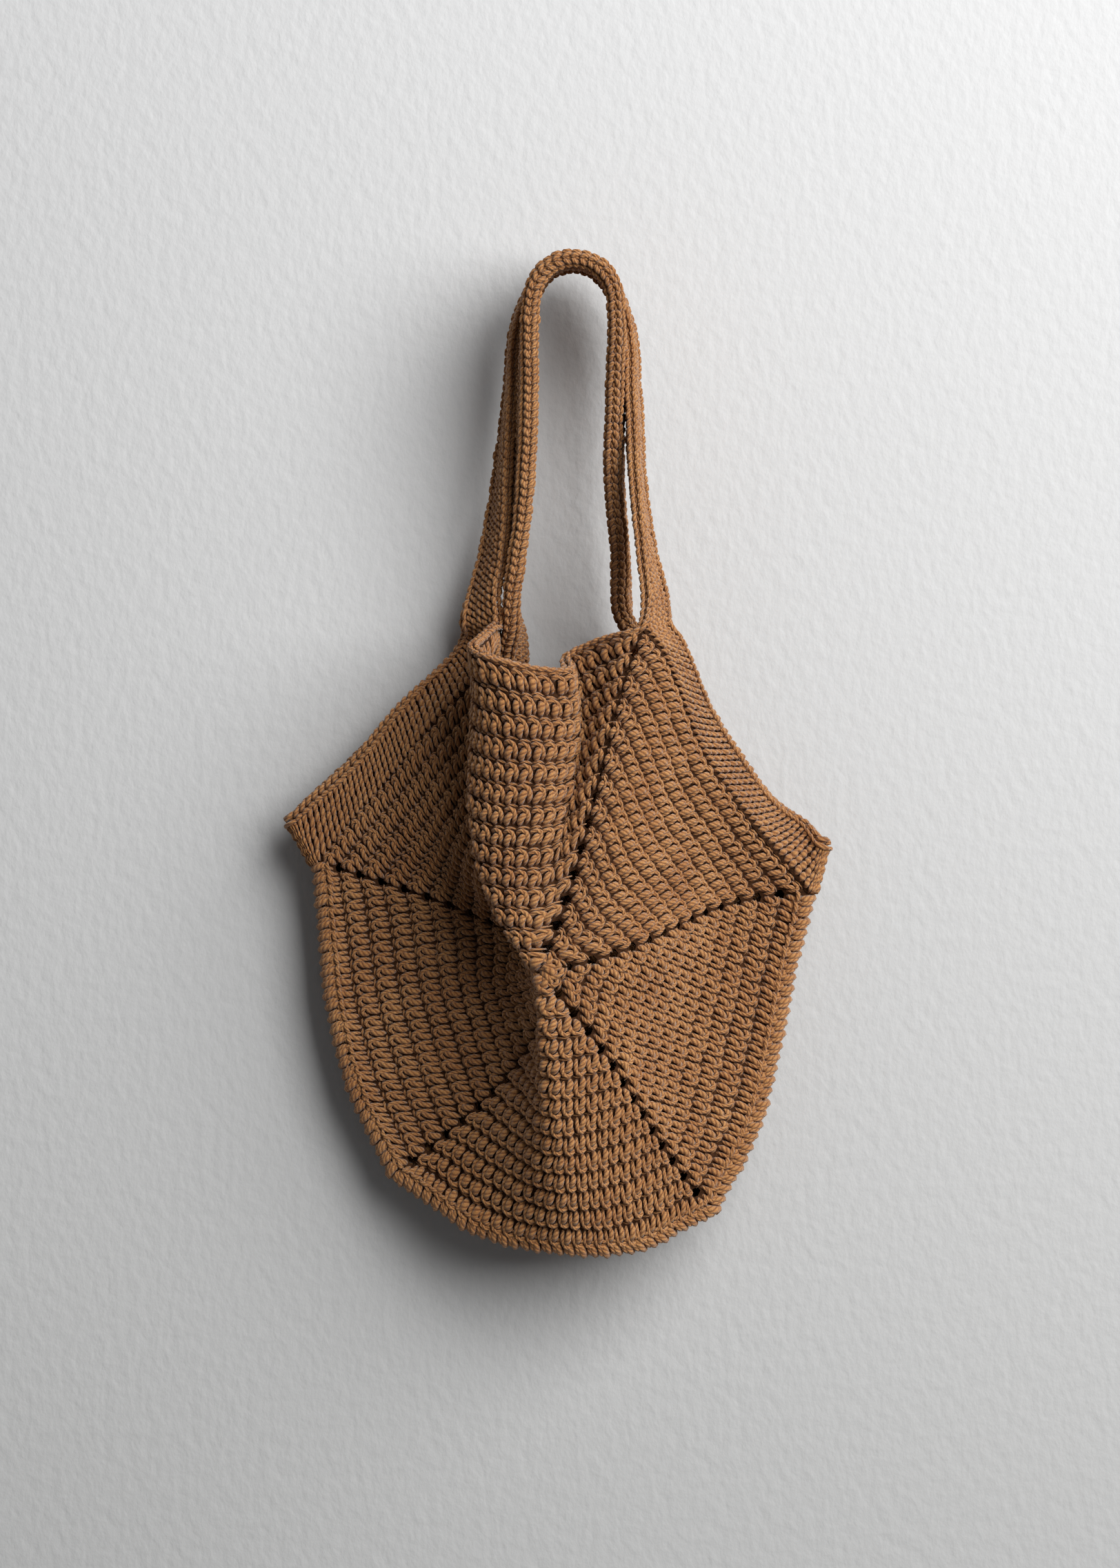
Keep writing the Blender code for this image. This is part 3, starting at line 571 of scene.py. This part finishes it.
def leg(rows, way_y):
    """Middle points and width directions of a handle's leg, from its foot to the peg."""
    table = np.array(rows)
    middle = table[:, (1, 2, 0)] * HANDLE_DROP + (CENTRE_X, -FRONT_DEPTH, -HANDLE_DROP)
    turn = np.radians(table[:, 3])
    return middle, np.stack([np.sin(turn), np.cos(turn), np.zeros(len(turn))], axis=1) * way_y


def over_peg(y, way_y, arc):
    """Sections of a handle where it lies on the peg, from left to right."""
    radius = PEG_RADIUS + CLOTH / 2
    angles = np.radians(np.linspace(90 + arc / 2, 90 - arc / 2, PEG_SECTIONS))
    middle = np.stack([radius * np.cos(angles), np.full(PEG_SECTIONS, y), radius * np.sin(angles) - PEG_RADIUS], axis=1)
    return middle, np.tile((0, way_y, 0), (PEG_SECTIONS, 1))


def handle(left_side, left_rows, y, arc, right_rows, right_side):
    """Inner points, width directions and widths of a handle, from its left foot to its right one."""
    way_y = math.copysign(1, y)
    feet = [(side[0][:1] + side[1][:1] * BAND_WIDTH / 2, side[1][:1]) for side in (left_side, right_side)]
    stretches = [feet[0], leg(left_rows, way_y), over_peg(y, way_y, arc),
                 [line[::-1] for line in leg(right_rows, way_y)], feet[1]]
    middles = np.concatenate([stretch[0] for stretch in stretches])
    ways = np.concatenate([stretch[1] for stretch in stretches])
    run = np.concatenate([[0], np.cumsum(np.linalg.norm(np.diff(middles, axis=0), axis=1))])
    at = np.linspace(0, run[-1], round(run[-1] / HANDLE_SECTION_STEP) + 1)
    middle, way = hermite(run, middles, at), unit(hermite(run, ways, at))
    return middle - way * BAND_WIDTH / 2, way, np.full((len(at), 1), BAND_WIDTH)


def band_loop(parts):
    """The handles and borders as one closed band: inner points, width directions, widths, and
    the directions along the band and through its thickness."""
    inner, way, width = (np.concatenate([part[i][:-1] for part in parts]) for i in range(3))
    along = tangents(inner + way * width / 2, closed=True)
    return inner, way, width, along, unit(np.cross(along, way))


steps = np.arange(ROUNDS + 1) / ROUNDS
front_left = border(front, FRONT_LEFT_BORDER, 6 - steps)
front_right = border(front, FRONT_RIGHT_BORDER, 1 + steps)
back_left = border(back, BACK_LEFT_BORDER, 6 - steps)
back_right = border(back, BACK_RIGHT_BORDER, 1 + steps)
front_hand = handle(front_left, FRONT_LEFT_LEG, HANDLE_SPACING / 2, FRONT_PEG_ARC, FRONT_RIGHT_LEG, front_right)
back_hand = handle(back_left, BACK_LEFT_LEG, -HANDLE_SPACING / 2, BACK_PEG_ARC, BACK_RIGHT_LEG, back_right)
right_side = [np.concatenate([a, b, c[::-1]])
              for a, b, c in zip(front_right, around_corner(front_right, back_right), back_right)]
left_side = [np.concatenate([a, b, c[::-1]])
             for a, b, c in zip(back_left, around_corner(back_left, front_left), front_left)]
stretches = {"front_handle": front_hand, "right_side_border": right_side,
             "back_handle": [line[::-1] for line in back_hand], "left_side_border": left_side}
inner, way, width, along, thick = band_loop(list(stretches.values()))
SECTIONS = len(inner)


def round_the_loop(values, at):
    """Values kept at the band's sections, read between them."""
    low = np.floor(at).astype(int)
    t = (at - low)[:, None]
    a, b, c, d = (values[(low + j) % SECTIONS] for j in (-1, 0, 1, 2))
    return b + 0.5 * t * (c - a + t * (2 * a - 5 * b + 4 * c - d + t * (3 * (b - c) + d - a)))


def on_band(at, across, height):
    """Points of the band: sections along, share of its width, metres off its middle."""
    side = unit(round_the_loop(thick, at))
    outward = round_the_loop(way * width, at)
    return round_the_loop(inner, at) + outward * across[:, None] + side * height[:, None]


# A row of single crochet shows as plump slanted nubs on both faces of the band, with dark gaps where
# the core's painted shade shows.
def single_crochet(face):
    """The nub of a single crochet on one face."""
    return strand(((-1.2, -0.1, 0.2 * face), (-0.9, 1.0, 2.1 * face), (0.0, 2.2, 2.5 * face),
                   (0.8, 3.2, 1.7 * face), (1.1, 4.1, 0.2 * face)), 1.7)


SECTION_STITCHES = 3
BAND_STITCH_MM = 4.4
start = 0
for piece, (name, stretch) in enumerate(stretches.items()):
    sections = len(stretch[0]) - 1
    at, across = np.meshgrid(start + np.linspace(0, sections, 3 * sections + 1), (-0.08, 0.5, 1.06), indexing="ij")
    rows = len(at)
    quads = [(i * 3 + j, i * 3 + j + 1, i * 3 + j + 4, i * 3 + j + 3) for i in range(rows - 1) for j in range(2)]
    core = mesh_object(name + "_core", on_band(at.ravel(), across.ravel(), np.zeros(at.size)), np.array(quads),
                       cotton_core)
    wall = core.modifiers.new("wall", "SOLIDIFY")
    wall.thickness = CORE
    wall.offset = 0
    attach(core, "root")
    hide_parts(name)
    count = sections * SECTION_STITCHES * BAND_ROWS

    def lay_on(n, mm):
        row, place = n // (sections * SECTION_STITCHES), n % (sections * SECTION_STITCHES)
        turned = row % 2
        x = np.where(turned, -mm[:, 0], mm[:, 0])
        y = np.where(turned, ROW_MM - mm[:, 1], mm[:, 1])
        at = start + (place + 0.5 + 0.5 * turned + x / BAND_STITCH_MM) / SECTION_STITCHES
        return on_band(at, (row + y / ROW_MM) / BAND_ROWS, mm[:, 2] / 1000)

    knit = work(name + "_stitches", bundle(single_crochet(1), single_crochet(-1)), count, lay_on, seed=40 + piece)
    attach(knit, "root")
    start += sections


# Along a line of points the edges are laid the same way: how far along, out from the line and
# through the cloth.
def on_line(points, out, through, pitch_mm, closed):
    """The map from a stitch's millimetres to places along a line, and how many stitches fit it."""
    lines = [np.concatenate([line, line[:1]]) if closed else line for line in (points, out, through)]
    run = np.concatenate([[0], np.cumsum(np.linalg.norm(np.diff(lines[0], axis=0), axis=1))])
    count = round(run[-1] * 1000 / pitch_mm)

    def lay_on(n, mm):
        at = (n + 0.5 + mm[:, 0] / pitch_mm) / count * run[-1]
        at = np.mod(at, run[-1]) if closed else np.clip(at, 0, run[-1])
        middle, outward, across = (np.stack([np.interp(at, run, line[:, axis]) for axis in range(3)], axis=1)
                                   for line in lines)
        return middle + unit(outward) * mm[:, 1:2] / 1000 + unit(across) * mm[:, 2:3] / 1000

    return count, lay_on


# The joining seam is a row of single crochet through both panels. Its stitches wrap the two edges
# and stand up as a rope-like ridge round the three lower sides, with a chain along each flank.
SEAM_PITCH_MM = 6.3
SEAM_POINTS = 8 * ROUNDS
seam_places = np.linspace(2.0, 5.0, 3 * SEAM_POINTS + 1)
one = np.ones(len(seam_places))
seam_line = (front(seam_places, one) + back(seam_places, one)) / 2
seam_out = unit(np.cross(tangents(seam_line), (0, 1, 0)))
seam_out *= np.sign(np.sum(seam_out * (seam_line - seam_line.mean(axis=0)), axis=1, keepdims=True))
seam_through = np.tile((0.0, 1.0, 0.0), (len(seam_line), 1))


def wrap(x, reach, radius):
    """One strand over the edge, slanting from the front to the back."""
    return strand(((x + 1.9, -2.4, -4.9), (x + 1.5, 0.6, -5.6), (x + 0.6, 3.4, -3.9), (x, reach, 0.0),
                   (x - 0.6, 3.4, 3.9), (x - 1.5, 0.6, 5.6), (x - 1.9, -2.4, 4.9)), radius)


def flank(face):
    """The chain that lies along one face beside the seam's ridge."""
    return strand(((-3.6, -4.6, 6.0 * face), (-1.2, -3.4, 7.0 * face), (1.2, -3.0, 7.0 * face),
                   (3.6, -4.0, 6.0 * face)), 1.15)


seam_stitch = bundle(
    wrap(-0.7, 4.6, 1.9), wrap(1.7, 3.9, 1.35), flank(-1), flank(1),
    strand(((-3.4, 1.0, 0.0), (0.0, 1.0, 0.0), (3.4, 1.0, 0.0)), 1.8, flatten=2.2),
)
count, lay_on = on_line(seam_line, seam_out, seam_through, SEAM_PITCH_MM, closed=False)
seam = work("joining_seam_stitches", seam_stitch, count, lay_on, seed=60)
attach(seam, "root")
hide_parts("joining_seam")


# Each mouth rim is one row of chain along the panel's top edge, and goes on as the inner edge of
# its handle. Each link is two strands that part and meet again.
RIM_PITCH_MM = 5.0
rim_link = bundle(
    strand(((-3.4, -1.0, -0.6), (-1.6, -0.3, -1.9), (0.8, 0.5, -2.0), (2.9, 1.0, -0.9)), 1.3),
    strand(((-3.4, -1.0, 0.6), (-1.6, -0.3, 1.9), (0.8, 0.5, 2.0), (2.9, 1.0, 0.9)), 1.3),
    strand(((-2.6, -1.6, 0.0), (0.0, -1.6, 0.0), (2.6, -1.6, 0.0)), 1.5, sides=4, flatten=1.3),
)
FINE = 4


def fine_line(points):
    """A closed line with more points, smooth through the given ones."""
    at = np.arange(len(points) * FINE) / FINE
    low = at.astype(int)
    t = (at - low)[:, None]
    a, b, c, d = (points[(low + j) % len(points)] for j in (-1, 0, 1, 2))
    return b + 0.5 * t * (c - a + t * (2 * a - 5 * b + 4 * c - d + t * (3 * (b - c) + d - a)))


for name, surface, hand in (("front_mouth_rim", front, front_hand), ("back_mouth_rim", back, back_hand)):
    top, out = edge(surface, np.arange(ROUNDS + 1) / ROUNDS)
    hand_inner, hand_way, _ = hand
    ways = np.concatenate([unit(out[:1] - hand_way[:1]), out[1:-1], unit(out[-1:] - hand_way[-1:]), -hand_way[-2:0:-1]])
    line = fine_line(np.concatenate([top, hand_inner[-2:0:-1]]) + ways * (RIM_RADIUS + RIM_GAP))
    outward = unit(fine_line(ways))
    through = unit(np.cross(tangents(line, closed=True), outward))
    count, lay_on = on_line(line, outward, through, RIM_PITCH_MM, closed=True)
    rim = work(name + "_links", rim_link, count, lay_on, seed=len(name))
    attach(rim, "root")
    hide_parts(name)


# The outer edging is one closed row round the outside of both borders and handles: a chain lies
# on each face, and slanted strands wrap the edge between them.
EDGE_PITCH_MM = 4.7


def leaf(face):
    """One side of a link, slanting over the edge of the band on one face."""
    return strand(((-2.6, -1.2, 1.9 * face), (-0.9, 0.1, 2.4 * face), (1.1, 1.3, 1.9 * face),
                   (2.6, 1.9, 0.5 * face)), 1.35)


def chain(face):
    """The smooth chain that lies along one face, a dark crease away from the leaves."""
    return strand(((-2.9, -3.2, 3.3 * face), (-1.0, -2.8, 4.2 * face), (1.1, -2.8, 4.2 * face),
                   (2.9, -3.4, 3.3 * face)), 1.2)


edge_stitch = bundle(
    leaf(1), leaf(-1), chain(1), chain(-1),
    strand(((-2.4, -0.6, 0.0), (0.0, -0.6, 0.0), (2.4, -0.6, 0.0)), 1.7, sides=4, flatten=1.0),
)
edging_line = fine_line(inner + way * (width + EDGE_RADIUS + RIM_GAP))
edging_out = unit(fine_line(way))
edging_through = unit(np.cross(tangents(edging_line, closed=True), edging_out))
count, lay_on = on_line(edging_line, edging_out, edging_through, EDGE_PITCH_MM, closed=True)
edging = work("outer_edging_stitches", edge_stitch, count, lay_on, seed=70)
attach(edging, "root")
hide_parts("outer_edging")


# A pale painted wall with a fine stipple stands just behind the bag. Its colour is lighter towards
# the top, painted light from the high window. Seen from behind, it lets the light and the view through.
WALL_Y = 0.052
WALL_LIGHT_FADE = 0.84
wall_paint = bpy.data.materials.new("pale_wall_paint")
wall_paint.use_nodes = True
tree = wall_paint.node_tree
shader = tree.nodes["Principled BSDF"]
place = add(tree, "ShaderNodeTexCoord")
stretch_node = add(tree, "ShaderNodeMapping", {"Vector": place.outputs["Object"]}, Scale=(1.0, 1.0, 0.7))
grain = add(tree, "ShaderNodeTexNoise", {"Vector": stretch_node.outputs["Vector"]}, Scale=170.0, Detail=5.0)
bump = add(tree, "ShaderNodeBump", {"Height": grain.outputs["Fac"]}, Strength=0.5, Distance=0.0015)
tree.links.new(bump.outputs["Normal"], shader.inputs["Normal"])
height = add(tree, "ShaderNodeSeparateXYZ", {"Vector": place.outputs["Object"]})
# Painted light: the wall's colour is lighter at the top and darker below.
painted_light_falloff = maths(tree, "MULTIPLY_ADD", height.outputs["Z"], 1 / WALL_LIGHT_FADE, 0.83)
tree.links.new(ramp(tree, painted_light_falloff, (0.0, "#bfbfbe"), (1.0, "#d4d4d4")), shader.inputs["Base Color"])
shader.inputs["Roughness"].default_value = 0.9
clear = add(tree, "ShaderNodeBsdfTransparent")
behind = add(tree, "ShaderNodeNewGeometry")
output = tree.nodes["Material Output"]
switch = add(tree, "ShaderNodeMixShader", {0: behind.outputs["Backfacing"], 1: shader.outputs["BSDF"],
                                           2: clear.outputs["BSDF"]})
tree.links.new(switch.outputs["Shader"], output.inputs["Surface"])
WALL_CORNERS = ((-3, WALL_Y, -2.5), (3, WALL_Y, -2.5), (3, WALL_Y, 2.5), (-3, WALL_Y, 2.5))
mesh_object("wall", np.array(WALL_CORNERS), np.array([[0, 1, 2, 3]]), wall_paint)


# Soft daylight comes from a window high on the right, and the pale room fills the shade a little.
def area_light(name, place, aim, size, watts, colour):
    """A square soft light turned to a point."""
    light = bpy.data.lights.new(name, "AREA")
    light.shape = "SQUARE"
    light.size = size
    light.energy = watts
    light.color = linear(colour)[:3]
    lamp = bpy.data.objects.new(name, light)
    lamp.location = place
    way_to = np.array(aim, float) - np.array(place, float)
    yaw = math.atan2(way_to[1], way_to[0]) - math.pi / 2
    pitch = math.atan2(way_to[2], math.hypot(way_to[0], way_to[1])) + math.pi / 2
    lamp.rotation_euler = (pitch, 0, yaw)
    bpy.context.collection.objects.link(lamp)


area_light("window", (1.3, -1.75, 0.65), (0, 0, -0.3), 2.1, 92, "#ffffff")
area_light("behind_fill", (0.4, 2.2, 0.6), (0, 0, -0.3), 1.4, 12, "#f4f6ff")
world = bpy.data.worlds.new("room")
world.use_nodes = True
world.node_tree.nodes["Background"].inputs["Color"].default_value = linear("#e4e6e9")
world.node_tree.nodes["Background"].inputs["Strength"].default_value = 0.15
bpy.context.scene.world = world
bpy.context.scene.view_settings.view_transform = "Standard"
